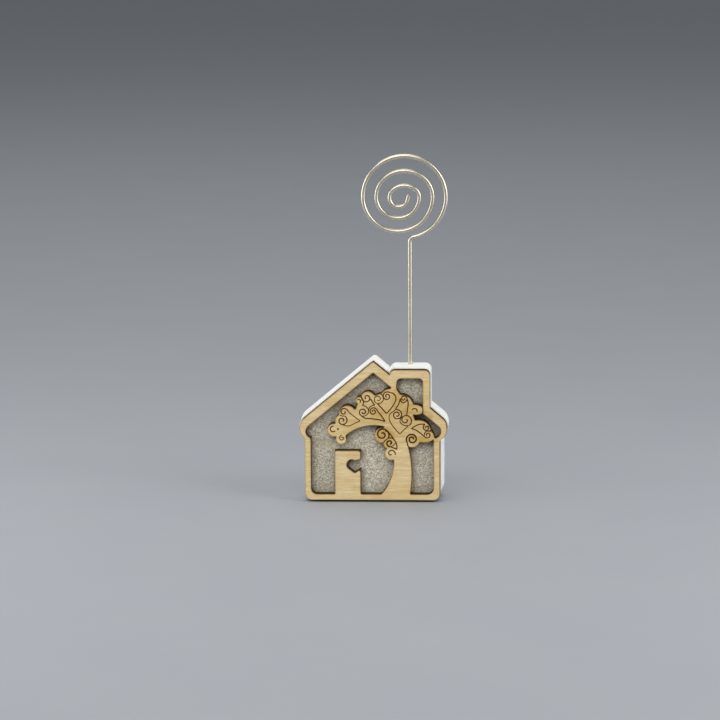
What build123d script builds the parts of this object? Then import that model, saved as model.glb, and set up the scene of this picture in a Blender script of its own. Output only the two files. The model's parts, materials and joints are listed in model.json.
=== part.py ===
from build123d import *

import os
from math import asin, cos, degrees, hypot, radians, sin, sqrt, tan

# Place card holder. A white cast house carries a glitter sheet and a plywood fretwork of a house
# front with a door and a scrolled tree. A wire clip stands in the chimney, wound into a flat spiral.
# Millimetres. +X is right, -Y is the front and +Z is up. The origin is the middle of the base.

# House front: the plywood's own outline, measured from its lower edge
house_width = 51.3
left_overhang = 1.75
right_overhang = 2.5
ridge_height = 48.8
roof_pitch = 39.7
eave_radius = 4.6
base_corner = 2.4
chimney_from_eave = 6.0
chimney_width = 13.95
chimney_height = 45.85
chimney_corner = 1.9

# Bands of wood left round the windows of the front
wall_band = 2.25
base_band = 2.15
roof_band = 2.95
eave_band = 2.2
chimney_side_band = 2.45
chimney_top_band = 2.9
window_eave_radius = 2.4
window_base_corner = 2.1
window_chimney_corner = 1.4

# Door, with a heart cut into its right edge
door_left = -13.4
door_width = 9.0
door_height = 15.4
heart_lobe_radius = 1.75
heart_lobe_spread = 1.2
heart_tip_drop = 3.05
heart_height = 10.5
heart_inset = 1.95

# Tree: its points count from a line this far inside the right wall, and up from the base band
tree_from_wall = 20.9
trunk_foot_left = 2.8
trunk_foot_right = 12.7
scroll_contact = 0.4
post_width = 1.95
post_foot = 36.6

# Layers, from the back to the front
body_depth = 12.0
film_thickness = 0.1
sheet_thickness = 0.5
plywood_thickness = 3.0

# Cast body: a little larger than the wood, which it holds clear of the table, with softened corners
# and a right wall that leans outwards to the back
body_margin = 0.25
body_wall_lean = 1.0
body_base_corner = 4.8
foot_ground_off = 0.3
base_gap = 0.7
sheet_inset = 0.4
body_corner_round = 1.0
body_back_round = 1.1

# Wire clip and its socket
wire_diameter = 1.6
wire_facets = 20
stem_clearance = 0.05
socket_depth = 16.0
stem_tip_chamfer = 0.3
stem_off_centre = -0.2
stem_behind_middle = 1.8
stem_bend_radius = 1.7
spiral_height = 58.6
spiral_offset = -1.85
spiral_radius = 14.35
spiral_half_turn_step = 2.3
spiral_half_turns = 5
outer_turn_flattening = 0.2
flattening_step = 0.28
shoulder_angle = 45
eye_drop = 0.4
eye_radius = 3.15
eye_sweep_angle = 166
wire_tail = 2.0

# Places worked out from the driving dimensions
half_width = house_width / 2
wall_left = -half_width + left_overhang
wall_right = half_width - right_overhang
chimney_right = half_width - chimney_from_eave
chimney_left = chimney_right - chimney_width
tree_x = wall_right - wall_band - tree_from_wall
roof_drop = tan(radians(roof_pitch))
window_ridge = ridge_height - roof_band / cos(radians(roof_pitch))
stack_depth = body_depth + 2 * film_thickness + sheet_thickness + plywood_thickness
body_back = stack_depth / 2
body_front = body_back - body_depth
sheet_back = body_front - film_thickness
sheet_front = sheet_back - sheet_thickness
plywood_back = sheet_front - film_thickness
chimney_top = base_gap + chimney_height + body_margin
stem_x = (chimney_left + chimney_right) / 2 + stem_off_centre
stem_y = (body_front + body_back) / 2 + stem_behind_middle
stem_foot = chimney_top - socket_depth
spiral_centre_z = chimney_top + spiral_height


def front_plane(y):
    """A sketch plane facing the front at depth y, with its zero at the plywood's lower edge."""
    return Plane(origin=(0, y, base_gap), x_dir=(1, 0, 0), z_dir=(0, -1, 0))


def box_face(left, right, bottom, top):
    """A plain rectangle by its four sides."""
    return Pos((left + right) / 2, (bottom + top) / 2) * Rectangle(right - left, top - bottom)


def rounded(face, corners, radius):
    """The face with its corners nearest the given points rounded off."""
    picked = [min(face.vertices(), key=lambda v, p=p: hypot(v.X - p[0], v.Y - p[1])) for p in corners]
    return fillet(picked, radius)


def house_face(reach, left, right, bottom, ridge, eave_r, corner_r):
    """A house front without its chimney: walls, a gable roof and rounded eaves that hang over the walls."""
    pitch = radians(roof_pitch)
    eave_x = reach - eave_r
    eave_z = ridge - roof_drop * eave_x - eave_r / cos(pitch)
    touch_x = eave_x + eave_r * sin(pitch)
    touch_z = eave_z + eave_r * cos(pitch)
    gable = make_face(
        Polyline(
            (0, ridge),
            (touch_x, touch_z),
            (eave_x, eave_z),
            (-eave_x, eave_z),
            (-touch_x, touch_z),
            close=True,
        )
    )
    walls = rounded(box_face(left, right, bottom, eave_z), [(left, bottom), (right, bottom)], corner_r)
    eaves = Pos(eave_x, eave_z) * Circle(eave_r) + Pos(-eave_x, eave_z) * Circle(eave_r)
    return gable + walls + eaves


def chimney_face(left, right, top, corner_r):
    """A chimney with rounded shoulders, reaching down past the roof line."""
    foot = ridge_height - roof_drop * right - roof_band
    return rounded(box_face(left, right, foot, top), [(left, top), (right, top)], corner_r)


def outline_face(right_wall, bottom, corner_r):
    """The outline of the whole front, without windows, with its own right wall, bottom and lower corners."""
    house = house_face(half_width, wall_left, right_wall, bottom, ridge_height, eave_radius, corner_r)
    return house + chimney_face(chimney_left, chimney_right, chimney_height, chimney_corner)


def window_face():
    """The opening inside the frame, before door and tree are put in."""
    house = house_face(
        half_width - eave_band,
        wall_left + wall_band,
        wall_right - wall_band,
        base_band,
        window_ridge,
        window_eave_radius,
        window_base_corner,
    )
    chimney = chimney_face(
        chimney_left + chimney_side_band,
        chimney_right - chimney_side_band,
        chimney_height - chimney_top_band,
        window_chimney_corner,
    )
    return house + chimney


def heart_face():
    """A wide heart with its tip down, centred between its two lobes."""
    to_lobe = hypot(heart_lobe_spread, heart_tip_drop)
    side = asin(heart_lobe_spread / to_lobe) + asin(heart_lobe_radius / to_lobe)
    side_length = sqrt(to_lobe**2 - heart_lobe_radius**2)
    side_x = side_length * sin(side)
    side_z = side_length * cos(side) - heart_tip_drop
    point = make_face(
        Polyline(
            (0, -heart_tip_drop),
            (side_x, side_z),
            (heart_lobe_spread, 0),
            (-heart_lobe_spread, 0),
            (-side_x, side_z),
            close=True,
        )
    )
    lobe = Circle(heart_lobe_radius)
    return point + Pos(heart_lobe_spread, 0) * lobe + Pos(-heart_lobe_spread, 0) * lobe


def door_face():
    """The door leaf, standing on the base band, with the heart cut through its right edge."""
    door_right = door_left + door_width
    leaf = box_face(door_left, door_right, base_band / 2, base_band + door_height)
    return leaf - Pos(door_right - heart_inset, base_band + heart_height) * heart_face()


def tree_face():
    """The tree in one outline: up the trunk's left side, round the scroll lobes and down its right side.

    Each step is an arc through a middle point, or a straight run where the middle is None."""
    at_chimney = chimney_right - chimney_side_band + scroll_contact - tree_x
    at_wall = tree_from_wall + scroll_contact
    steps = [
        # Trunk, left side
        ((6.0, 5.4), (7.1, 12.2)),
        # Scrolls beside the trunk, then the slit under the long branch
        ((3.9, 14.3), (4.7, 16.1)),
        ((3.7, 17.0), (3.5, 18.2)),
        ((0.4, 20.9), (3.8, 23.5)),
        (None, (3.8, 23.9)),
        # Long left branch and its end scrolls
        ((-3.4, 23.9), (-9.6, 20.7)),
        ((-11.0, 17.6), (-12.8, 20.5)),
        ((-16.0, 22.9), (-13.1, 24.9)),
        ((-13.1, 26.5), (-11.9, 28.1)),
        ((-9.9, 31.2), (-6.2, 29.8)),
        # Upper branches, towards the chimney
        (None, (-5.3, 31.9)),
        ((-6.0, 33.4), (-4.2, 34.4)),
        ((-2.3, 36.3), (0.6, 34.8)),
        ((1.7, 35.3), (2.9, 35.6)),
        ((4.3, 36.9), (6.2, 37.3)),
        (None, (8.2, 37.2)),
        (None, (9.5, 35.2)),
        # Right side: the upper leaf, the scroll on the chimney wall and the lower leaf
        ((12.4, 34.4), (14.0, 31.7)),
        ((16.0, 31.5), (at_chimney, 30.3)),
        (None, (at_chimney, 29.1)),
        ((15.8, 28.2), (13.8, 28.2)),
        (None, (14.6, 26.1)),
        ((18.3, 25.6), (20.1, 22.6)),
        ((20.9, 21.5), (at_wall, 20.3)),
        (None, (at_wall, 19.7)),
        ((18.6, 18.4), (16.1, 18.5)),
        ((14.6, 16.9), (12.2, 16.8)),
        # Trunk, right side
        ((13.4, 8.0), (trunk_foot_right, 0.0)),
    ]
    edges = []
    here = (trunk_foot_left, 0.0)
    for middle, there in steps:
        edges.append(ThreePointArc(here, middle, there) if middle else Line(here, there))
        here = there
    root = -base_band / 2
    edges.append(Polyline(here, (trunk_foot_right, root), (trunk_foot_left, root), (trunk_foot_left, 0.0)))
    return Pos(tree_x, base_band) * make_face(edges)


def post_face():
    """The post that carries the chimney's left wall down to the tree."""
    right = chimney_left + chimney_side_band
    return box_face(right - post_width, right, base_band + post_foot, chimney_height - chimney_top_band)


def fretwork_face():
    """The plywood front as it is cut from one sheet: frame, door, tree and post."""
    return outline_face(wall_right, 0, base_corner) - window_face() + door_face() + tree_face() + post_face()


def block_face(right_wall):
    """The block's outline: the front's with its own right wall, foot and soft ridge, grown by the margin."""
    outline = outline_face(right_wall, body_margin - base_gap - foot_ground_off, body_base_corner)
    return offset(rounded(outline, [(0, ridge_height)], body_corner_round), body_margin)


def house_body():
    """The cast block with a leaning right wall, a rounded back edge, its foot ground flat and the socket."""
    back = front_plane(body_back) * block_face(wall_right + body_wall_lean)
    front = front_plane(body_front) * block_face(wall_right)
    cast = loft([back.face(), front.face()], ruled=True)
    cast = fillet(cast.faces().sort_by(Axis.Y)[-1].edges(), body_back_round)
    block = split(cast, bisect_by=Plane.XY, keep=Keep.TOP)
    socket = Pos(stem_x, stem_y, stem_foot) * Cylinder(
        wire_diameter / 2 + stem_clearance,
        socket_depth + body_margin,
        align=(Align.CENTER, Align.CENTER, Align.MIN),
    )
    return block - socket


def half_turn(start_x, radius, over_the_top, flattening):
    """Half a turn from a point on the spiral's level line: one arc, or three smooth ones if flattened."""
    way = 1 if over_the_top else -1
    start = 0 if over_the_top else 180
    middle_x = start_x - way * radius
    if not flattening:
        return [CenterArc((middle_x, 0), radius, start, 180)]
    shoulder = radians(shoulder_angle)
    shift = flattening / (sin(shoulder) + cos(shoulder) - 1)
    side_x = shift * cos(shoulder)
    side_radius = radius - side_x
    crest_z = -way * shift * sin(shoulder)
    crest_start = start + shoulder_angle
    crest_end = start + 180 - shoulder_angle
    return [
        CenterArc((middle_x + way * side_x, 0), side_radius, start, shoulder_angle),
        CenterArc((middle_x, crest_z), side_radius + shift, crest_start, crest_end - crest_start),
        CenterArc((middle_x - way * side_x, 0), side_radius, crest_end, shoulder_angle),
    ]


def wire_path():
    """The wire's centre line: stem, bend, half turns that step inwards, then the eye and its short tail."""
    plane = Plane(origin=(stem_x, stem_y, spiral_centre_z), x_dir=(1, 0, 0), z_dir=(0, -1, 0))
    bend_reach = spiral_radius + stem_bend_radius
    bend_x = stem_bend_radius
    bend_z = -sqrt(bend_reach**2 - (bend_x - spiral_offset) ** 2)
    join_angle = degrees(asin((bend_x - spiral_offset) / bend_reach))
    edges = [
        Line((0, stem_foot - spiral_centre_z), (0, bend_z)),
        CenterArc((bend_x, bend_z), stem_bend_radius, 180, join_angle - 90),
        CenterArc((spiral_offset, 0), spiral_radius, join_angle - 90, 90 - join_angle),
    ]
    end_x = spiral_offset + spiral_radius
    radius = spiral_radius
    for turn in range(spiral_half_turns):
        over_the_top = turn % 2 == 0
        flattening = outer_turn_flattening + turn * flattening_step if over_the_top else 0
        edges += half_turn(end_x, radius, over_the_top, flattening)
        end_x += -2 * radius if over_the_top else 2 * radius
        radius -= spiral_half_turn_step
    eye_way = 1 if spiral_half_turns % 2 else -1
    eye_start = 180 if spiral_half_turns % 2 else 0
    eye_z = -eye_way * eye_drop
    drop = Line((end_x, 0), (end_x, eye_z))
    eye = CenterArc((end_x + eye_way * eye_radius, eye_z), eye_radius, eye_start, eye_sweep_angle)
    tail = Line(eye @ 1, eye @ 1 + (eye % 1) * wire_tail)
    return Wire([plane.from_local_coords(edge) for edge in edges + [drop, eye, tail]])


def least_gap(path):
    """The narrowest free space between one stretch of the wire and another, measured on points."""
    count = 600
    step = path.length / count
    points = [path.position_at(i / count) for i in range(count + 1)]
    apart = int(4 * wire_diameter / step)
    gaps = [(points[i] - points[j]).length for i in range(count + 1) for j in range(i + apart, count + 1)]
    return min(gaps) - wire_diameter


def wire_clip():
    """The wire clip, one finely faceted wire swept along its path, with a chamfered foot."""
    path = wire_path()
    section = Plane(origin=path @ 0, z_dir=path % 0) * RegularPolygon(wire_diameter / 2, wire_facets)
    wire = sweep(section, path=path)
    foot_edges = wire.edges().group_by(Axis.Z)[0]
    print("wire length", round(path.length, 1), "least gap between turns", round(least_gap(path), 2))
    return chamfer(foot_edges, stem_tip_chamfer)


def layer(face, back, thickness):
    """A flat layer of the stack, with its back face at depth back."""
    return extrude(front_plane(back) * face, thickness)


def main():
    sheet = offset(outline_face(wall_right, 0, base_corner), -sheet_inset)
    fretwork = fretwork_face()
    parts = {
        "house_body": house_body(),
        "sheet_adhesive": layer(sheet, body_front, film_thickness),
        "glitter_sheet": layer(sheet, sheet_back, sheet_thickness),
        "fretwork_adhesive": layer(fretwork, sheet_front, film_thickness),
        "fretwork_front": layer(fretwork, plywood_back, plywood_thickness),
        "wire_clip": wire_clip(),
    }
    os.makedirs("parts", exist_ok=True)
    for name, shape in parts.items():
        export_step(shape, f"parts/{name}.step")


main()
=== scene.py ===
"""Place card holder: a cast white house with a laser-cut birch front over a glitter sheet, and a wire
spiral that stands in the chimney and takes the card. All places are in metres in the CAD frame."""
import json
import random
from math import asin, cos, degrees, pi, radians, sin, sqrt

import bmesh
import bpy
from mathutils import Matrix, Vector


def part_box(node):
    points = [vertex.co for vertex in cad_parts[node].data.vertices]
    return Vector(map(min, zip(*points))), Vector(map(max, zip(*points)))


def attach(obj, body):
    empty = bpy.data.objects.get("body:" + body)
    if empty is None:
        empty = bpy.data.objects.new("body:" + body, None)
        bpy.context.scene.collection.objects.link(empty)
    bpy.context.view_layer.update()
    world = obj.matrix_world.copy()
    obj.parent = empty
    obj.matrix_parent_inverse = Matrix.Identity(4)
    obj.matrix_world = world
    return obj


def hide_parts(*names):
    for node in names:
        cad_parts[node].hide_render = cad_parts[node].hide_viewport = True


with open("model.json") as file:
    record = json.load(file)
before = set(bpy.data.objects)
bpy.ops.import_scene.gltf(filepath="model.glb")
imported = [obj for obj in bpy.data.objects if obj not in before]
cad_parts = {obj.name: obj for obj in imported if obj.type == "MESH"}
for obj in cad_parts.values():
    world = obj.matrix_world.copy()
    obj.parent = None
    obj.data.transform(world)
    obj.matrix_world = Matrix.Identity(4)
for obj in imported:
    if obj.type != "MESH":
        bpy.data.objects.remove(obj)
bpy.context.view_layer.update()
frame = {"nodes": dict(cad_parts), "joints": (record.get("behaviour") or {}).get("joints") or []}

MM = 0.001

# Camera
# The point at the middle of the picture, and how far and which way the camera stands from it.
PHOTO_CENTRE = Vector((-4.5, -7.85, 50.09)) * MM
CAMERA_DISTANCE = 1.036
CAMERA_AZIMUTH = radians(2.8)
CAMERA_ELEVATION = radians(9.5)
CAMERA_ROLL = radians(0.33)
LENS = 150
SENSOR = 36

# Floor and light
# Lamps: name, place, the place it is aimed at, width and height in metres, and power in watts.
FLOOR_HALF = 14.0
LAMP_COLOUR = (1.0, 0.99, 0.97)
LAMPS = [
    ("overhead", (-0.2, 0.3, 1.5), (0, 0, 0.03), 1.6, 1.6, 10.6),
    ("front_left", (-0.3, -1.05, 1.0), (0, 0, 0.05), 1.4, 0.8, 8.6),
    ("left", (-0.36, -0.1, 0.15), (0, 0, 0.09), 0.36, 0.28, 0.62),
    ("right", (0.36, -0.1, 0.15), (0, 0, 0.09), 0.36, 0.28, 0.46),
    ("front_right", (0.95, -0.55, 0.6), (0, 0, 0.06), 0.5, 0.9, 4.5),
]
WORLD_COLOUR = (0.93, 0.96, 1.0, 1.0)
WORLD_STRENGTH = 0.25

# Meshes
# Points closer than JOIN are one point. After the cuts, edges shorter than SLIVER are closed up.
# Both are in millimetres. Edges that bend by more degrees than a crease stay sharp.
JOIN = 0.0005
SLIVER = 0.005
FRETWORK_CREASE = 40
WIRE_CREASE = 35

# Engraved lines
# Places on the plywood front in millimetres, across from its middle and up from its lower edge.
# FINE, BROAD and HEAVY are the radius of a groove, which is its depth and half its width.
FINE = 0.16
BROAD = 0.2
HEAVY = 0.27
GROOVE_SIDES = 8
GROOVE_END_TAPER = 0.55
CURL_STEP = 12
STROKE_STEPS = 6

# Curls: groove, centre across, centre up, outer radius, inner radius, start angle and turn in degrees.
CURLS = [
    (BROAD, -10.2, 31.1, 1.50, 0.30, 7, 400),
    (BROAD, -10.8, 28.1, 1.85, 0.35, 56, -470),
    (BROAD, -14.0, 25.2, 0.85, 1.10, 75, 245),
    (FINE, -10.9, 21.9, 1.00, 0.30, 90, 400),
    (BROAD, -5.0, 34.9, 0.65, 0.65, 130, -190),
    (BROAD, -2.3, 36.1, 1.75, 0.30, 171, 430),
    (FINE, 1.7, 35.7, 1.55, 0.30, 255, -400),
    (BROAD, 4.8, 36.7, 1.65, 0.30, 46, 560),
    (BROAD, -3.5, 31.1, 1.45, 0.30, 237, -420),
    (BROAD, 0.0, 31.3, 1.50, 0.30, 0, 560),
    (HEAVY, 3.1, 23.2, 2.40, 0.45, -31, 520),
    (HEAVY, 5.7, 20.2, 1.30, 0.30, -80, -380),
    (BROAD, 6.1, 16.5, 1.55, 0.30, -20, 330),
    (BROAD, 10.6, 35.9, 1.10, 0.25, 0, 400),
    (BROAD, 8.2, 30.2, 1.90, 0.40, 110, -600),
    (BROAD, 11.2, 28.3, 2.25, 0.35, -60, 470),
    (BROAD, 14.4, 31.5, 1.05, 0.75, 165, -190),
    (BROAD, 18.4, 25.7, 1.25, 0.25, 110, 470),
    (BROAD, 18.8, 23.1, 1.20, 0.25, 200, 400),
    (HEAVY, 13.4, 21.6, 2.05, 0.50, 220, -585),
]

# Strokes: groove, then points that a smooth line follows.
STROKES = [
    # heart that points right, on the long branch, and the dot beside it
    (FINE, (-4.6, 28.0), (-6.7, 29.6), (-8.7, 31.2)),
    (FINE, (-4.6, 28.0), (-6.3, 27.2), (-7.9, 26.4), (-9.3, 26.2), (-10.9, 26.7)),
    (FINE, (-11.7, 30.0), (-10.7, 29.7), (-9.7, 29.7)),
    (HEAVY, (-12.6, 25.2), (-12.3, 25.1), (-11.9, 25.1)),
    # small heart at the top left
    (BROAD, (-4.2, 36.9), (-3.9, 36.0), (-3.3, 35.1)),
    (BROAD, (-3.3, 35.1), (-3.4, 34.2), (-3.7, 33.4)),
    (BROAD, (-0.9, 35.8), (-0.3, 34.7), (0.5, 33.5)),
    (FINE, (0.5, 33.5), (-0.8, 33.2), (-1.4, 32.5), (-1.6, 31.7)),
    (FINE, (-3.7, 33.4), (-2.6, 33.1), (-1.8, 32.2), (-1.6, 31.4),
     (-2.0, 30.4), (-2.9, 29.8), (-4.2, 29.7)),
    # heart under it
    (BROAD, (4.1, 27.8), (2.9, 29.7), (1.5, 31.4)),
    (BROAD, (4.1, 27.8), (2.0, 28.4), (-0.8, 28.8), (-2.9, 29.0), (-4.3, 29.9)),
    # tall heart in the middle
    (BROAD, (4.6, 30.6), (3.1, 32.3), (1.4, 34.2)),
    (BROAD, (4.6, 30.6), (6.0, 32.2), (7.2, 34.0), (7.9, 35.7),
     (7.5, 37.1), (6.5, 37.9), (5.9, 37.9)),
    (FINE, (1.4, 34.2), (2.5, 34.3), (3.4, 35.1), (3.5, 36.0), (3.2, 36.9), (2.8, 37.5)),
    # leaf that hangs to the left of the trunk
    (BROAD, (8.1, 18.0), (8.1, 19.5), (7.5, 21.0), (6.5, 22.0), (5.2, 21.9)),
    (BROAD, (4.1, 24.5), (5.4, 23.9), (6.3, 22.7), (7.0, 21.7)),
    (BROAD, (8.1, 18.0), (7.0, 18.5), (5.9, 18.9)),
    (FINE, (7.6, 20.2), (6.9, 19.4), (6.1, 18.9)),
    (BROAD, (3.5, 20.4), (4.2, 21.2), (5.2, 21.9)),
    # leaf at the top right
    (BROAD, (11.6, 30.2), (11.8, 31.9), (12.1, 33.8), (12.0, 35.0), (11.7, 35.9)),
    (BROAD, (9.4, 35.9), (9.1, 34.8), (8.6, 33.6), (7.7, 32.3)),
    (BROAD, (9.4, 36.0), (9.7, 34.9), (10.5, 34.4), (11.3, 34.9), (11.7, 35.6)),
    # large heart on the trunk
    (FINE, (9.2, 23.4), (7.9, 24.8), (6.5, 26.6), (5.6, 28.3),
     (5.5, 29.7), (6.1, 30.8), (7.1, 31.4), (7.6, 32.0)),
    (FINE, (9.2, 23.4), (10.5, 24.8), (12.2, 26.4)),
    (FINE, (10.1, 29.7), (9.4, 28.7), (9.3, 27.7), (9.9, 26.9), (11.0, 26.4), (12.2, 26.4)),
    # foot of the large curl on the right branch, at the trunk's edge
    (BROAD, (11.8, 20.2), (11.9, 19.5), (12.3, 18.7)),
    # heart that points left, on the right branch
    (BROAD, (13.2, 25.3), (14.6, 26.3), (16.2, 26.9), (18.0, 26.9)),
    (BROAD, (13.2, 25.3), (14.8, 24.8), (16.2, 23.8), (17.6, 22.6)),
    # line between the two small lobes of that heart, from the window under the eave
    (HEAVY, (20.6, 24.6), (20.0, 24.6), (19.4, 24.5)),
    (BROAD, (19.6, 24.5), (18.8, 24.5), (18.2, 24.3), (17.8, 23.7), (17.7, 22.9)),
    # joint of the small lobe above that window and the frame
    (BROAD, (17.1, 32.9), (17.2, 31.9), (17.1, 30.6)),
]

# Smoke and fumes of the laser
# Ovals on the plywood front: centre across, centre up, half width and half height, and then a strength.
CROWN = (3.0, 29.3, 17.8, 12.6)
FUME_STAINS = [
    (17.2, 21.6, 5.0, 3.2, 1.0),
    (20.6, 23.6, 2.8, 4.0, 0.8),
    (12.6, 30.6, 3.2, 4.2, 0.6),
    (17.6, 29.6, 3.4, 2.4, 0.7),
    (8.4, 35.6, 2.6, 4.2, 0.6),
    (3.4, 22.2, 4.4, 4.2, 0.7),
    (0.4, 30.4, 5.0, 3.0, 0.35),
]
# How far from an edge each mark reaches, in millimetres, and the side whose edges get char and painted
# shade. None of that char and painted shade is on the outline of the roof, so the roof's pitch is here
# too.
SMOKE_REACH = 2.4
SCORCH_REACH = 0.7
CHAR_SHADE_REACH = 0.8
CHAR_SHADE_SIDE = (0.45, 0.7, 0.55)
ROOF_PITCH = radians(39.7)

# Wood
# How often the grain changes in a millimetre along each axis, and half a ply's thickness.
GRAIN_BANDS = (0.06, 0.4, 0.9)
GRAIN_FIBRES = (0.3, 2.5, 6.0)
GRAIN_PORES = (0.4, 3.0, 7.0)
GRAIN_CHAR = (1.5, 0.4, 1.5)
HALF_PLY = 0.5
WOOD_SPECULAR = 0.12

# Glitter
# Lengths in millimetres. A flake's jitter is a share of its size, and the margin is a count of flakes.
FLAKE = 0.28
FLAKE_JITTER = 0.3
FLAKE_MARGIN = 2
FLAKE_RELIEF = 0.08
FLAKE_SEED = 7
SLAB_OVERHANG = 1.0
TONES_PER_MM = 2.9

# Shade in corners
# The rays that a point sends out, how far they reach in millimetres, and which way they lean.
OCCLUSION_SAMPLES = 12
GLITTER_SHADE_REACH = 3.0
GLITTER_SHADE_WAY = (-0.1, -0.8, 0.59)
FLOOR_SHADE_REACH = 5.0

# Wire
# Lengths in millimetres and angles in degrees.
WIRE_SIDES = 24
STEM_STEPS = 24
ARC_STEP = 3
SPIRAL_RADIUS = 14.35
SPIRAL_STEP = 2.3
SPIRAL_HALF_TURNS = 5
SPIRAL_OFFSET = -1.85
BEND_RADIUS = 1.7
OUTER_FLATTENING = 0.2
FLATTENING_STEP = 0.28
EYE_DROP = 0.4
EYE_RADIUS = 3.15
EYE_SWEEP = 166
WIRE_TAIL = 2.0
WIRE_CHAMFER = 0.25


# Colours
def srgb(red, green, blue):
    """A colour as it is seen, from 0 to 255, as linear values."""
    def linear(value):
        value = value / 255
        return value / 12.92 if value <= 0.04045 else ((value + 0.055) / 1.055) ** 2.4
    return (linear(red), linear(green), linear(blue), 1.0)


BIRCH_LIGHT = srgb(234, 214, 168)
BIRCH_DARK = srgb(218, 192, 144)
BIRCH_FIBRE = srgb(192, 158, 108)
BIRCH_PORE = srgb(156, 116, 72)
BIRCH_STAIN = srgb(212, 182, 114)
CROWN_TINT = srgb(242, 236, 219)
FUME_TINT = srgb(228, 216, 162)
SMOKE = srgb(206, 172, 98)
SCORCH = srgb(186, 144, 78)
EDGE_BURN = srgb(110, 76, 34)
EDGE_CHAR_AND_SHADE = srgb(72, 46, 20)
LINE_RIM = srgb(142, 99, 42)
LINE_BOTTOM = srgb(82, 50, 14)
WALL_GLUE_LINE = srgb(20, 11, 5)
WALL_PLY = srgb(48, 29, 12)
WALL_CHAR = srgb(66, 42, 18)
CAST_WHITE = srgb(250, 250, 248)
CAST_CLOUD = srgb(243, 242, 238)
PINHOLE = srgb(196, 192, 184)
GLUE_LIGHT = srgb(222, 214, 190)
GLUE_DARK = srgb(202, 190, 158)
FLAKE_DARK = srgb(178, 161, 126)
FLAKE_BRIGHT = srgb(255, 252, 237)
BINDER = srgb(208, 194, 162)
GLITTER_PAINTED_SHADE = srgb(124, 97, 58)
GLITTER_CORNER_SHADE = srgb(60, 40, 30)
GILT = srgb(219, 212, 195)
TARNISH = srgb(209, 200, 180)
FLOOR_DARK = srgb(158, 162, 169)
FLOOR_LIGHT = srgb(163, 167, 173)
FLOOR_PAINTED_SHADOW = srgb(58, 50, 40)


# Materials
class Shader:
    """A material's node tree, built by short calls. Lengths in it are millimetres."""

    def __init__(self, name):
        self.material = bpy.data.materials.new(name)
        self.material.use_nodes = True
        self.tree = self.material.node_tree
        self.bsdf = self.tree.nodes["Principled BSDF"]

    def add(self, kind, **settings):
        node = self.tree.nodes.new("ShaderNode" + kind)
        for name, value in settings.items():
            setattr(node, name, value)
        return node

    def put(self, socket, value):
        if isinstance(value, bpy.types.NodeSocket):
            self.tree.links.new(value, socket)
        else:
            socket.default_value = value

    def mm(self, stretch=(1, 1, 1)):
        """Places on the piece in millimetres, stretched along each axis."""
        scale = self.add("VectorMath", operation="MULTIPLY")
        self.put(scale.inputs[0], self.add("TexCoord").outputs["Object"])
        scale.inputs[1].default_value = [value / MM for value in stretch]
        return scale.outputs[0]

    def axes(self, vector):
        split = self.add("SeparateXYZ")
        self.put(split.inputs[0], vector)
        return split.outputs

    def direction(self, values):
        node = self.add("CombineXYZ")
        for socket, value in zip(node.inputs, values):
            socket.default_value = value
        return node.outputs[0]

    def math(self, operation, first, second=0.0):
        node = self.add("Math", operation=operation)
        self.put(node.inputs[0], first)
        self.put(node.inputs[1], second)
        return node.outputs[0]

    def span(self, value, low, high, out_low=0.0, out_high=1.0):
        """A smooth step from out_low to out_high as the value goes from low to high."""
        node = self.add("MapRange", interpolation_type="SMOOTHSTEP")
        for socket, number in zip(node.inputs, (value, low, high, out_low, out_high)):
            self.put(socket, number)
        return node.outputs[0]

    def noise(self, vector, scale, detail=2.0, roughness=0.5, distortion=0.0):
        node = self.add("TexNoise")
        self.put(node.inputs["Vector"], vector)
        node.inputs["Scale"].default_value = scale
        node.inputs["Detail"].default_value = detail
        node.inputs["Roughness"].default_value = roughness
        node.inputs["Distortion"].default_value = distortion
        return node.outputs["Fac"]

    def cells(self, vector, scale, output="Distance"):
        node = self.add("TexVoronoi")
        self.put(node.inputs["Vector"], vector)
        node.inputs["Scale"].default_value = scale
        return node.outputs[output]

    def mix(self, amount, first, second, blend="MIX"):
        """A mix of two colours, which are sockets 6 and 7 of the node, and 2 of what it gives."""
        node = self.add("Mix", data_type="RGBA", blend_type=blend)
        self.put(node.inputs[0], amount)
        self.put(node.inputs[6], first)
        self.put(node.inputs[7], second)
        return node.outputs[2]

    def blocked(self, reach, normal, **settings):
        """The share of the rays out of a point, spread round normal, that meet a surface within reach."""
        node = self.add("AmbientOcclusion", samples=OCCLUSION_SAMPLES, **settings)
        node.inputs["Distance"].default_value = reach * MM
        if normal:
            self.put(node.inputs["Normal"], self.direction(normal))
        return self.math("SUBTRACT", 1.0, node.outputs["AO"])

    def edges(self, reach, side=None):
        """Towards 1 close to a solid's own outer edges, within reach, or only to those on one side."""
        inwards = [-value for value in side] if side else None
        return self.blocked(reach, inwards, inside=True, only_local=True)

    def walls(self, reach, way=None):
        """Towards 1 close to what stands on a surface, within reach, or mostly to what stands one way."""
        return self.blocked(reach, way)

    def spot(self, across, up, centre_across, centre_up, half_wide, half_tall):
        """1 in an oval round a place on the front, and 0 outside it."""
        sideways = self.math("DIVIDE", self.math("SUBTRACT", across, centre_across), half_wide)
        upwards = self.math("DIVIDE", self.math("SUBTRACT", up, centre_up), half_tall)
        far = self.math("ADD", self.math("POWER", sideways, 2.0), self.math("POWER", upwards, 2.0))
        return self.span(far, 0.5, 1.1, 1.0, 0.0)

    def bump(self, height, strength, distance):
        node = self.add("Bump")
        self.put(node.inputs["Height"], height)
        node.inputs["Strength"].default_value = strength
        node.inputs["Distance"].default_value = distance * MM
        self.put(self.bsdf.inputs["Normal"], node.outputs[0])

    def finish(self, colour, roughness, metallic=0.0):
        self.put(self.bsdf.inputs["Base Color"], colour)
        self.put(self.bsdf.inputs["Roughness"], roughness)
        self.bsdf.inputs["Metallic"].default_value = metallic
        return self.material


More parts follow.
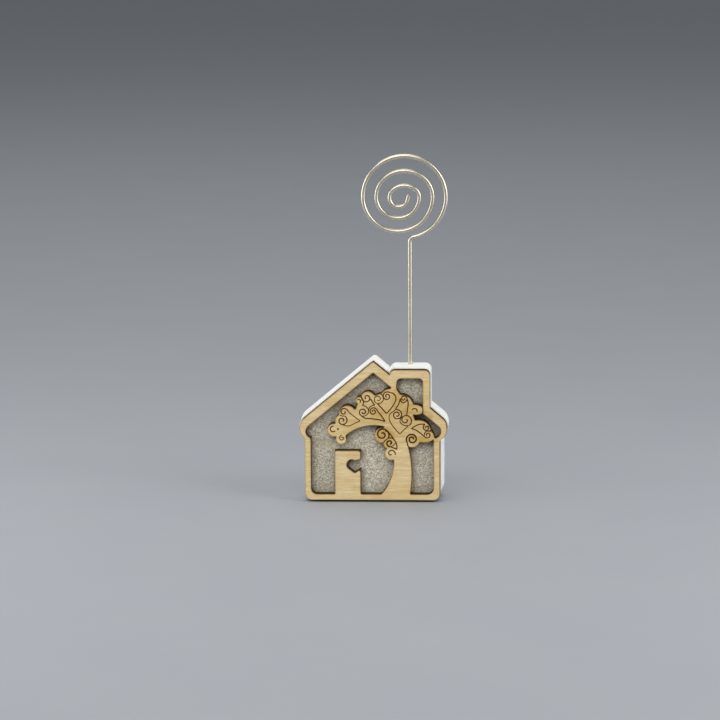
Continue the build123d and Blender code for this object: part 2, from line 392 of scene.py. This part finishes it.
def birch_grain(shader, place):
    """Birch with its grain across: the colour, and the fibres and pores that give it relief."""
    bands = shader.noise(shader.mm(GRAIN_BANDS), 1.0, 4.0, 0.55, 0.5)
    wood = shader.mix(shader.span(bands, 0.32, 0.68), BIRCH_LIGHT, BIRCH_DARK)
    fibres = shader.noise(shader.mm(GRAIN_FIBRES), 1.0, 3.0, 0.6)
    wood = shader.mix(shader.span(fibres, 0.5, 0.72, 0.0, 0.5), wood, BIRCH_FIBRE)
    pores = shader.noise(shader.mm(GRAIN_PORES), 1.0, 1.0)
    wood = shader.mix(shader.span(pores, 0.66, 0.76, 0.0, 0.55), wood, BIRCH_PORE)
    stain = shader.noise(place, 0.11, 3.0, 0.55)
    wood = shader.mix(shader.span(stain, 0.5, 0.7, 0.0, 0.45), wood, BIRCH_STAIN)
    return wood, fibres, pores


def smoke_stains(shader, wood, place, across, up):
    """The wood with a darker crown of the tree, patches of fumes, and browned edges."""
    wood = shader.mix(shader.spot(across, up, *CROWN), wood, CROWN_TINT, "MULTIPLY")
    fumes = 0.0
    for *oval, strength in FUME_STAINS:
        stain = shader.math("MULTIPLY", shader.spot(across, up, *oval), strength)
        fumes = shader.math("MAXIMUM", stain, fumes)
    patches = shader.span(shader.noise(place, 0.45, 3.0), 0.35, 0.6, 0.35, 1.0)
    wood = shader.mix(shader.math("MULTIPLY", fumes, patches), wood, FUME_TINT, "MULTIPLY")
    smoke = shader.span(shader.edges(SMOKE_REACH), 0.04, 0.4, 0.0, 0.12)
    wood = shader.mix(smoke, wood, SMOKE)
    rim = shader.edges(SCORCH_REACH)
    wood = shader.mix(shader.span(rim, 0.12, 0.36, 0.0, 0.3), wood, SCORCH)
    return shader.mix(shader.span(rim, 0.28, 0.45, 0.0, 0.45), wood, EDGE_BURN)


def charred_and_shaded_edges(shader, wood, across, up, ridge):
    """The wood with char and painted shade along its upper right edges, except on the roof's own outline.
    """
    slope = shader.math("MULTIPLY", shader.math("ABSOLUTE", across), sin(ROOF_PITCH))
    below_ridge = shader.math("MULTIPLY", shader.math("SUBTRACT", ridge, up), cos(ROOF_PITCH))
    below_roof = shader.math("SUBTRACT", below_ridge, slope)
    strength = shader.span(below_roof, 0.5, 1.1, 0.0, 0.95)
    # painted shade: edges on the upper right side darken as if their cut walls and shadows showed there,
    # over a little real char
    upper_right = shader.edges(CHAR_SHADE_REACH, CHAR_SHADE_SIDE)
    return shader.mix(shader.span(upper_right, 0.3, 0.6, 0.0, strength), wood, EDGE_CHAR_AND_SHADE)


def burnt_cuts(shader, depth):
    """What the laser cut: brown engraved lines, and burnt walls that show the plies."""
    line = shader.mix(shader.span(depth, 0.03, 0.16), LINE_RIM, LINE_BOTTOM)
    plies = shader.math("PINGPONG", shader.math("ADD", depth, HALF_PLY), HALF_PLY)
    wall = shader.mix(shader.span(plies, 0.0, 0.1), WALL_GLUE_LINE, WALL_PLY)
    char = shader.noise(shader.mm(GRAIN_CHAR), 1.0, 3.0, 0.6)
    wall = shader.mix(shader.span(char, 0.45, 0.75, 0.0, 0.6), wall, WALL_CHAR)
    normal = shader.add("NewGeometry").outputs["True Normal"]
    facing = shader.math("ABSOLUTE", shader.axes(normal)[1])
    return shader.mix(shader.span(facing, 0.1, 0.25), wall, line)


def plywood_material(low, high):
    """Birch ply with grain, short pores, smoke stains, burnt lines and burnt cut edges, for a plate
    with those lowest and highest corners."""
    shader = Shader("birch_plywood")
    place = shader.mm()
    x, y, z = shader.axes(place)
    across = shader.math("SUBTRACT", x, (low.x + high.x) / 2 / MM)
    up = shader.math("SUBTRACT", z, low.z / MM)
    depth = shader.math("SUBTRACT", y, low.y / MM)

    wood, fibres, pores = birch_grain(shader, place)
    wood = smoke_stains(shader, wood, place, across, up)
    wood = charred_and_shaded_edges(shader, wood, across, up, (high.z - low.z) / MM)
    colour = shader.mix(shader.span(depth, 0.008, 0.022), wood, burnt_cuts(shader, depth))

    shader.bump(shader.math("SUBTRACT", fibres, shader.span(pores, 0.68, 0.76)), 0.35, 0.05)
    shader.bsdf.inputs["Specular IOR Level"].default_value = WOOD_SPECULAR
    return shader.finish(colour, shader.span(fibres, 0.3, 0.7, 0.55, 0.7))


def plaster_material():
    """Cast white stone: matt, with fine grain, a few pinholes and a slight unevenness."""
    shader = Shader("cast_white_stone")
    place = shader.mm()
    cloud = shader.noise(place, 0.12, 4.0, 0.6)
    white = shader.mix(shader.span(cloud, 0.35, 0.7), CAST_WHITE, CAST_CLOUD)
    hole = shader.span(shader.cells(place, 0.45), 0.05, 0.11, 1.0, 0.0)
    rare = shader.span(shader.noise(place, 0.3, 1.0), 0.56, 0.6)
    pinholes = shader.math("MULTIPLY", hole, rare)
    colour = shader.mix(pinholes, white, PINHOLE)
    grain = shader.noise(place, 5.0, 3.0, 0.6)
    swell = shader.noise(place, 0.25, 2.0)
    height = shader.math("ADD", shader.math("MULTIPLY", grain, 0.12), swell)
    shader.bump(shader.math("SUBTRACT", height, pinholes), 0.4, 0.12)
    return shader.finish(colour, shader.span(grain, 0.3, 0.7, 0.55, 0.72))


def glue_material():
    """Thin glue film: cloudy, a little yellow, with trapped air."""
    shader = Shader("glue_film")
    place = shader.mm()
    cloud = shader.noise(place, 0.5, 3.0)
    colour = shader.mix(shader.span(cloud, 0.35, 0.65), GLUE_LIGHT, GLUE_DARK)
    bubble = shader.span(shader.cells(place, 1.2), 0.1, 0.2, 1.0, 0.0)
    shader.bump(bubble, 0.2, 0.02)
    return shader.finish(colour, shader.span(cloud, 0.3, 0.7, 0.3, 0.5))


def glitter_material():
    """Silver glitter in a beige binder: each flake has its own tone, and painted shade darkens it close
    to walls, mostly those above it, and most in narrow corners.
    """
    shader = Shader("silver_glitter")
    place = shader.mm()
    tone = shader.axes(shader.cells(place, TONES_PER_MM, "Color"))[0]
    colour = shader.mix(tone, FLAKE_DARK, FLAKE_BRIGHT)
    cloud = shader.noise(place, 0.12, 2.0)
    colour = shader.mix(shader.span(cloud, 0.45, 0.7, 0.0, 0.3), colour, BINDER)
    # painted shade: brown-grey darkening close to the walls and darker still in narrow corners
    near = shader.walls(GLITTER_SHADE_REACH, GLITTER_SHADE_WAY)
    colour = shader.mix(shader.span(near, 0.25, 0.68, 0.0, 0.6), colour, GLITTER_PAINTED_SHADE)
    colour = shader.mix(shader.span(near, 0.6, 0.84, 0.0, 0.85), colour, GLITTER_CORNER_SHADE)
    return shader.finish(colour, shader.span(tone, 0.0, 1.0, 0.55, 0.4), 0.4)


def wire_material():
    """Pale gilt steel wire: bright, with faint drawing marks and a slight tarnish."""
    shader = Shader("pale_gilt_wire")
    place = shader.mm()
    tarnish = shader.noise(place, 0.15, 2.0, 0.5)
    colour = shader.mix(shader.span(tarnish, 0.35, 0.75), GILT, TARNISH)
    marks = shader.noise(place, 4.0, 2.0)
    shader.bump(marks, 0.012, 0.01)
    return shader.finish(colour, shader.span(marks, 0.3, 0.7, 0.26, 0.32), 1.0)


def floor_material():
    """Plain pale grey board with a very faint tooth, and a painted contact shadow close to what stands on
    it.
    """
    shader = Shader("pale_floor")
    tooth = shader.noise(shader.mm(), 0.02, 3.0)
    colour = shader.mix(tooth, FLOOR_DARK, FLOOR_LIGHT)
    # painted contact shadow: the floor darkens close to what stands on it
    contact_shadow = shader.span(shader.walls(FLOOR_SHADE_REACH), 0.4, 0.85, 0.0, 0.75)
    return shader.finish(shader.mix(contact_shadow, colour, FLOOR_PAINTED_SHADOW), 0.6)


# Mesh tools
def add_to_scene(name, data):
    obj = bpy.data.objects.new(name, data)
    bpy.context.scene.collection.objects.link(obj)
    return obj


def new_object(name, vertices, faces):
    """A mesh object of those points and faces, with its faces turned outwards."""
    mesh = bpy.data.meshes.new(name)
    mesh.from_pydata(vertices, [], faces)
    work = bmesh.new()
    work.from_mesh(mesh)
    bmesh.ops.remove_doubles(work, verts=work.verts, dist=JOIN * MM)
    bmesh.ops.recalc_face_normals(work, faces=work.faces)
    work.to_mesh(mesh)
    work.free()
    return add_to_scene(name, mesh)


def copy_of_node(node, name):
    """A new object with a CAD node's shape, its points joined."""
    mesh = frame["nodes"][node].data
    points = [vertex.co.copy() for vertex in mesh.vertices]
    return new_object(name, points, [list(face.vertices) for face in mesh.polygons])


def cut(target, tool, operation):
    """Cuts target with tool, and deletes tool."""
    change = target.modifiers.new("cut", "BOOLEAN")
    change.operation = operation
    change.object = tool
    change.solver = "MANIFOLD"
    graph = bpy.context.evaluated_depsgraph_get()
    mesh = bpy.data.meshes.new_from_object(target.evaluated_get(graph))
    target.modifiers.remove(change)
    before = target.data
    target.data = mesh
    mesh.name = target.name
    bpy.data.meshes.remove(before)
    bpy.data.meshes.remove(tool.data)


def drop_slivers(obj):
    """Divides a cut mesh into well-shaped triangles, without the slivers that the cuts leave."""
    reach = SLIVER * MM
    work = bmesh.new()
    work.from_mesh(obj.data)
    bmesh.ops.remove_doubles(work, verts=work.verts, dist=reach)
    bmesh.ops.dissolve_degenerate(work, edges=work.edges, dist=reach)
    bmesh.ops.triangulate(work, faces=work.faces, quad_method="BEAUTY", ngon_method="BEAUTY")
    bmesh.ops.dissolve_degenerate(work, edges=work.edges, dist=reach)
    work.to_mesh(obj.data)
    work.free()


def smooth_by_angle(obj, crease):
    """Smooth shading, except over edges that bend by more than crease degrees."""
    for face in obj.data.polygons:
        face.use_smooth = True
    obj.data.set_sharp_from_angle(angle=radians(crease))


def tube(name, points, radii, sides):
    """A closed tube along points of an upright plane, with its own radius at each point."""
    across = Vector((0, 1, 0))
    vertices = []
    faces = []
    last = len(points) - 1
    for index, (point, radius) in enumerate(zip(points, radii)):
        along = (points[min(index + 1, last)] - points[max(index - 1, 0)]).normalized()
        side = along.cross(across)
        for corner in range(sides):
            angle = 2 * pi * corner / sides
            vertices.append(point + radius * (cos(angle) * side + sin(angle) * across))
    for index in range(last):
        for corner in range(sides):
            following = (corner + 1) % sides
            low = index * sides
            high = low + sides
            faces.append((low + corner, low + following, high + following, high + corner))
    faces.append(tuple(range(sides)))
    faces.append(tuple(range(last * sides, (last + 1) * sides)))
    return new_object(name, vertices, faces)


# Plywood front with its engraving
def curl_line(across, up, outer, inner, start, turn):
    """Points of a curl round a place, from its outer to its inner radius."""
    steps = round(abs(turn) / CURL_STEP)
    points = []
    for step in range(steps + 1):
        share = step / steps
        angle = radians(start + share * turn)
        radius = outer + share * (inner - outer)
        points.append((across + radius * cos(angle), up + radius * sin(angle)))
    return points


def smooth_line(points):
    """Points of a smooth line through those points, each stretch bent by the points beside it."""
    ends = [points[0], *points, points[-1]]
    line = []
    for before, start, end, after in zip(ends, ends[1:], ends[2:], ends[3:]):
        for step in range(STROKE_STEPS):
            t = step / STROKE_STEPS
            line.append(tuple(
                0.5 * (2 * b + (c - a) * t + (2 * a - 5 * b + 4 * c - d) * t ** 2
                       + (3 * b - a - 3 * c + d) * t ** 3)
                for a, b, c, d in zip(before, start, end, after)))
    return [*line, points[-1]]


def groove(line, radius, origin):
    """A tube to cut a line with, for an origin on the plate's front at the middle of its lower edge."""
    middle, front, foot = origin
    points = [Vector((middle + x * MM, front, foot + z * MM)) for x, z in line]
    radii = [radius * MM] * len(points)
    radii[0] = radii[-1] = GROOVE_END_TAPER * radius * MM
    return tube("groove", points, radii, GROOVE_SIDES)


plate_low, plate_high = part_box("fretwork_front")
plate_origin = ((plate_low.x + plate_high.x) / 2, plate_low.y, plate_low.z)

fretwork = copy_of_node("fretwork_front", "engraved_fretwork")
for groove_radius, *curl in CURLS:
    cut(fretwork, groove(curl_line(*curl), groove_radius, plate_origin), "DIFFERENCE")
for groove_radius, *stroke in STROKES:
    cut(fretwork, groove(smooth_line(stroke), groove_radius, plate_origin), "DIFFERENCE")
drop_slivers(fretwork)
smooth_by_angle(fretwork, FRETWORK_CREASE)
fretwork.data.materials.clear()
fretwork.data.materials.append(plywood_material(plate_low, plate_high))
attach(fretwork, "house")
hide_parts("fretwork_front")


# Glitter sheet with its flakes
def flake_slab(low, high):
    """A slab whose front is a field of small tilted facets, just behind the sheet's front."""
    dice = random.Random(FLAKE_SEED)
    step = FLAKE * MM
    columns = int((high.x - low.x) / step) + 2 * FLAKE_MARGIN
    rows = int((high.z - low.z) / step) + 2 * FLAKE_MARGIN
    vertices = []
    for row in range(rows + 1):
        for column in range(columns + 1):
            shift = 0.5 * (row % 2) + dice.uniform(-FLAKE_JITTER, FLAKE_JITTER)
            x = low.x + (column - FLAKE_MARGIN + shift) * step
            z = low.z + (row - FLAKE_MARGIN + dice.uniform(-FLAKE_JITTER, FLAKE_JITTER)) * step
            vertices.append((x, low.y + dice.random() * FLAKE_RELIEF * MM, z))
    faces = []
    wide = columns + 1
    for row in range(rows):
        for column in range(columns):
            a = row * wide + column
            b, c, d = a + 1, a + wide, a + wide + 1
            faces += [(a, b, c), (b, d, c)] if row % 2 else [(a, d, c), (a, b, d)]
    rim = [*range(columns), *range(columns, rows * wide + columns, wide),
           *range(rows * wide + columns, rows * wide, -1), *range(rows * wide, 0, -wide)]
    back = len(vertices)
    deep = high.y + SLAB_OVERHANG * MM
    vertices += [(vertices[index][0], deep, vertices[index][2]) for index in rim]
    count = len(rim)
    for index in range(count):
        following = (index + 1) % count
        faces.append((rim[index], rim[following], back + following, back + index))
    faces.append(tuple(range(back, back + count)))
    return new_object("flakes", vertices, faces)


glitter = copy_of_node("glitter_sheet", "glitter_facets")
cut(glitter, flake_slab(*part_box("glitter_sheet")), "INTERSECT")
glitter.data.materials.clear()
glitter.data.materials.append(glitter_material())
for face in glitter.data.polygons:
    face.use_smooth = False
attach(glitter, "house")
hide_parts("glitter_sheet")


# Wire clip
def arc(centre_x, centre_z, radius, start, sweep):
    """Points of an arc after its first one."""
    steps = round(abs(sweep) / ARC_STEP)
    angles = [radians(start + sweep * step / steps) for step in range(1, steps + 1)]
    return [(centre_x + radius * cos(angle), centre_z + radius * sin(angle)) for angle in angles]


def half_turn(start_x, radius, over_the_top, flattening):
    """Points of half a turn after its first one, with its crest lowered by the flattening."""
    way = 1 if over_the_top else -1
    start = 0 if over_the_top else 180
    height = 1 - flattening / radius
    return [(x, height * z) for x, z in arc(start_x - way * radius, 0, radius, start, 180)]


def wire_line(foot):
    """Points from the stem's foot to the spiral's inner end, in millimetres from the stem's axis
    and the middle of the spiral."""
    reach = SPIRAL_RADIUS + BEND_RADIUS
    shift = BEND_RADIUS - SPIRAL_OFFSET
    join = degrees(asin(shift / reach))
    bend_z = -sqrt(reach ** 2 - shift ** 2)
    points = [(0, foot + (bend_z - foot) * step / STEM_STEPS) for step in range(STEM_STEPS + 1)]
    points += arc(BEND_RADIUS, bend_z, BEND_RADIUS, 180, join - 90)
    points += arc(SPIRAL_OFFSET, 0, SPIRAL_RADIUS, join - 90, 90 - join)
    end_x = SPIRAL_OFFSET + SPIRAL_RADIUS
    for turn in range(SPIRAL_HALF_TURNS):
        radius = SPIRAL_RADIUS - turn * SPIRAL_STEP
        over_the_top = turn % 2 == 0
        flattening = OUTER_FLATTENING + turn * FLATTENING_STEP if over_the_top else 0
        points += half_turn(end_x, radius, over_the_top, flattening)
        end_x += -2 * radius if over_the_top else 2 * radius
    points.append((end_x, -EYE_DROP))
    points += arc(end_x + EYE_RADIUS, -EYE_DROP, EYE_RADIUS, 180, EYE_SWEEP)
    heading = radians(180 + EYE_SWEEP + 90)
    x, z = points[-1]
    for share in (0.5, 1.0):
        points.append((x + share * WIRE_TAIL * cos(heading), z + share * WIRE_TAIL * sin(heading)))
    return points


swivel = next(joint for joint in frame["joints"] if joint["name"] == "clip_swivel")
stem_x, stem_y, _ = swivel["pos_m"]
wire_low, wire_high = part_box("wire_clip")
wire_radius = (wire_high.y - wire_low.y) / 2
spiral_z = wire_high.z - wire_radius - (SPIRAL_RADIUS - OUTER_FLATTENING) * MM

path = [Vector((stem_x + x * MM, stem_y, spiral_z + z * MM))
        for x, z in wire_line((wire_low.z - spiral_z) / MM)]
chamfer = WIRE_CHAMFER * MM
start_way = (path[1] - path[0]).normalized()
end_way = (path[-1] - path[-2]).normalized()
path = [path[0], path[0] + chamfer * start_way, *path[1:-1], path[-1] - chamfer * end_way, path[-1]]
wire_radii = [wire_radius] * len(path)
wire_radii[0] = wire_radii[-1] = wire_radius - chamfer
wire = tube("spiral_wire", path, wire_radii, WIRE_SIDES)
smooth_by_angle(wire, WIRE_CREASE)
wire.data.materials.append(wire_material())
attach(wire, "clip")
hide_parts("wire_clip")

# CAD nodes that stay
plaster = plaster_material()
glue = glue_material()
for node, material in (("house_body", plaster), ("sheet_adhesive", glue), ("fretwork_adhesive", glue)):
    for slot in frame["nodes"][node].material_slots:
        slot.material = material

# Floor, lamps and camera
floor_mesh = bpy.data.meshes.new("floor")
floor_mesh.from_pydata(
    [(-FLOOR_HALF, -FLOOR_HALF, 0), (FLOOR_HALF, -FLOOR_HALF, 0),
     (FLOOR_HALF, FLOOR_HALF, 0), (-FLOOR_HALF, FLOOR_HALF, 0)], [], [(0, 1, 2, 3)])
floor_mesh.materials.append(floor_material())
floor = add_to_scene("floor", floor_mesh)

for name, place, aim, wide, tall, watts in LAMPS:
    light = bpy.data.lights.new(name, "AREA")
    light.shape = "RECTANGLE"
    light.size = wide
    light.size_y = tall
    light.energy = watts
    light.color = LAMP_COLOUR
    lamp = add_to_scene(name, light)
    lamp.location = place
    lamp.rotation_euler = (Vector(aim) - Vector(place)).to_track_quat("-Z", "Y").to_euler()

world = bpy.data.worlds.new("studio")
world.use_nodes = True
world.node_tree.nodes["Background"].inputs["Color"].default_value = WORLD_COLOUR
world.node_tree.nodes["Background"].inputs["Strength"].default_value = WORLD_STRENGTH
bpy.context.scene.world = world

# The camera's own axes: from the picture's middle back to the camera, then right and up in the picture.
back = Vector((sin(CAMERA_AZIMUTH) * cos(CAMERA_ELEVATION),
               -cos(CAMERA_AZIMUTH) * cos(CAMERA_ELEVATION), sin(CAMERA_ELEVATION)))
level_right = Vector((0, 0, 1)).cross(back).normalized()
level_up = back.cross(level_right)
right = cos(CAMERA_ROLL) * level_right - sin(CAMERA_ROLL) * level_up
up = cos(CAMERA_ROLL) * level_up + sin(CAMERA_ROLL) * level_right
lens = bpy.data.cameras.new("camera")
lens.lens = LENS
lens.sensor_width = SENSOR
camera = add_to_scene("camera", lens)
camera.matrix_world = Matrix.Translation(PHOTO_CENTRE + CAMERA_DISTANCE * back) @ Matrix(
    (right, up, back)).transposed().to_4x4()
bpy.context.scene.camera = camera
bpy.context.scene.view_settings.view_transform = "Standard"
